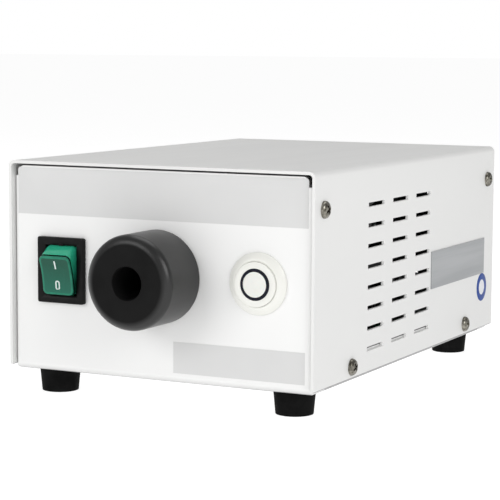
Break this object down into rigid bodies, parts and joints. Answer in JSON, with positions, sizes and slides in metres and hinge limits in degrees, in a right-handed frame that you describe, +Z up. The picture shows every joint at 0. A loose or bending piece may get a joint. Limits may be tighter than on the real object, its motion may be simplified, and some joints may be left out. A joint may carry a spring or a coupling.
{
  "type": "fiber optic illuminator",
  "caption": "Bench light source: sheet-metal box on rubber feet with a round light-guide port, power rocker, touch switch, side vents and rear fan.",
  "frame": {"origin": "on the bench, under the middle of the whole object", "axes": "+Z up, -Y towards the front panel and the light port, +X to the right as seen from the front"},
  "size_m": [0.1648, 0.264, 0.1116],
  "materials": {
    "cover_paint": "fine satin powder coat",
    "chassis_paint": "satin powder coat",
    "plate_aluminium": "matt anodised",
    "nickel_screws": "nickel plated",
    "foot_rubber": "moulded",
    "black_plastic": "fine spark texture",
    "rocker_green": "translucent",
    "brass_contacts": "plain",
    "collar_black": "turned, satin",
    "touch_white": "satin",
    "touch_dark": "gloss",
    "touch_pale": "translucent",
    "white_nylon": "moulded",
    "holder_black": "black anodised",
    "optical_glass": "polished",
    "led_board_white": "white solder mask",
    "led_phosphor": "silicone over phosphor",
    "heatsink_aluminium": "extruded",
    "bracket_zinc": "zinc plated",
    "fan_black": "moulded",
    "inlet_black": "moulded",
    "fuse_glass": "glass with metal caps",
    "board_green": "solder mask",
    "transformer_yellow": "taped winding",
    "capacitor_black": "sleeved can",
    "terminal_green": "moulded",
    "component_black": "moulded"
  },
  "bodies": {
    "housing": {"cover": "cover_paint", "front_panel": "chassis_paint", "chassis": "chassis_paint", "rear_panel": "chassis_paint", "rating_plate": "plate_aluminium", "cover_screws_right": "nickel_screws", "cover_screws_left": "nickel_screws", "feet": "foot_rubber", "rocker_switch_body": "black_plastic", "rocker_switch_terminals": "brass_contacts", "light_port_collar": "collar_black", "touch_switch_bezel": "touch_white", "touch_contact_block": "white_nylon", "lens_holder": "holder_black", "condenser_lens": "optical_glass", "led_board": "led_board_white", "led_emitter": "led_phosphor", "heatsink": "heatsink_aluminium", "heatsink_bracket_left": "bracket_zinc", "heatsink_bracket_right": "bracket_zinc", "fan_frame": "fan_black", "inlet_body": "inlet_black", "inlet_pins": "brass_contacts", "power_supply_board": "board_green", "power_board_posts": "brass_contacts", "transformer": "transformer_yellow", "capacitors": "capacitor_black", "heat_spreader": "heatsink_aluminium", "terminal_blocks": "terminal_green", "control_board": "board_green", "control_board_posts": "brass_contacts", "control_board_parts": "component_black"},
    "rocker": {"rocker_cap": "rocker_green"},
    "touch_button": {"touch_button_cap": "touch_white", "touch_button_ring": "touch_dark", "touch_button_lens": "touch_pale"},
    "fan_wheel": {"fan_rotor": "fan_black"},
    "fuse_carrier": {"fuse_drawer": "inlet_black", "fuse": "fuse_glass"}
  },
  "joints": [
    {"name": "rocker_tilt", "type": "hinge", "parent": "housing", "child": "rocker", "pos_m": [-0.0516, -0.10025, 0.0604], "axis": [-1, 0, 0], "range_deg": [0, 27]},
    {"name": "touch_press", "type": "slide", "parent": "housing", "child": "touch_button", "axis": [0, 1, 0], "range_m": [0, 0.0006], "stiffness_N_per_m": 3000, "springref_m": -0.0003},
    {"name": "fan_spin", "type": "hinge", "parent": "housing", "child": "fan_wheel", "pos_m": [0.038, 0.11435, 0.0636], "axis": [0, 1, 0], "continuous": true},
    {"name": "fuse_drawer_slide", "type": "slide", "parent": "housing", "child": "fuse_carrier", "axis": [0, 1, 0], "range_m": [0, 0.02]}
  ]
}
